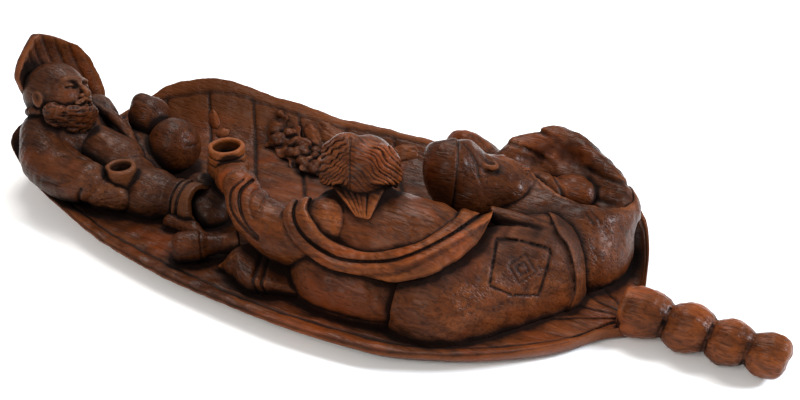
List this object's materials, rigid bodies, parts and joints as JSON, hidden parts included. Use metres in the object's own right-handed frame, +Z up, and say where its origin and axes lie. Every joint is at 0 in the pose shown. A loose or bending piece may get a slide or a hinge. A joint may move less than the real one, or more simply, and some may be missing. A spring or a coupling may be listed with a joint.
{
  "type": "incense burner",
  "caption": "Carved wooden leaf dish with a bamboo handle and reclining robed figures whose raised cups hold incense over the leaf.",
  "frame": {"origin": "on the flat underside of the leaf, on the line of the handle", "axes": "+Z up, +X along the leaf towards the end of the handle, +Y towards the far, higher rim"},
  "size_m": [0.4141, 0.1759, 0.0785],
  "materials": {
    "carved_wood": "satin",
    "dark_wood": "satin"
  },
  "bodies": {
    "root": {"leaf_tray": "carved_wood", "leaf_near_rim": "carved_wood", "leaf_far_rim": "carved_wood", "curled_leaf_tip": "carved_wood", "bamboo_handle": "carved_wood", "elder_head": "carved_wood", "elder_beard": "carved_wood", "elder_chest": "carved_wood", "elder_robe": "carved_wood", "elder_lap": "carved_wood", "elder_sleeve": "carved_wood", "elder_hand": "carved_wood", "elder_cup": "carved_wood", "elder_leg": "carved_wood", "elder_shoe": "carved_wood", "gourd_bottle": "dark_wood", "drinker_head": "carved_wood", "drinker_braid": "carved_wood", "drinker_back": "carved_wood", "drinker_sash": "carved_wood", "drinker_sleeve": "carved_wood", "drinker_hand": "carved_wood", "drinker_cup": "carved_wood", "drinker_skirt": "carved_wood", "drinker_hip_robe": "carved_wood", "drinker_shoe": "carved_wood", "sleeper_head": "carved_wood", "sleeper_robe": "carved_wood", "sleeper_belly": "carved_wood", "sleeper_sleeve": "carved_wood", "fruit_cluster": "dark_wood", "spray_leaf": "carved_wood", "wine_jug": "dark_wood", "floor_twig": "carved_wood"}
  },
  "joints": []
}
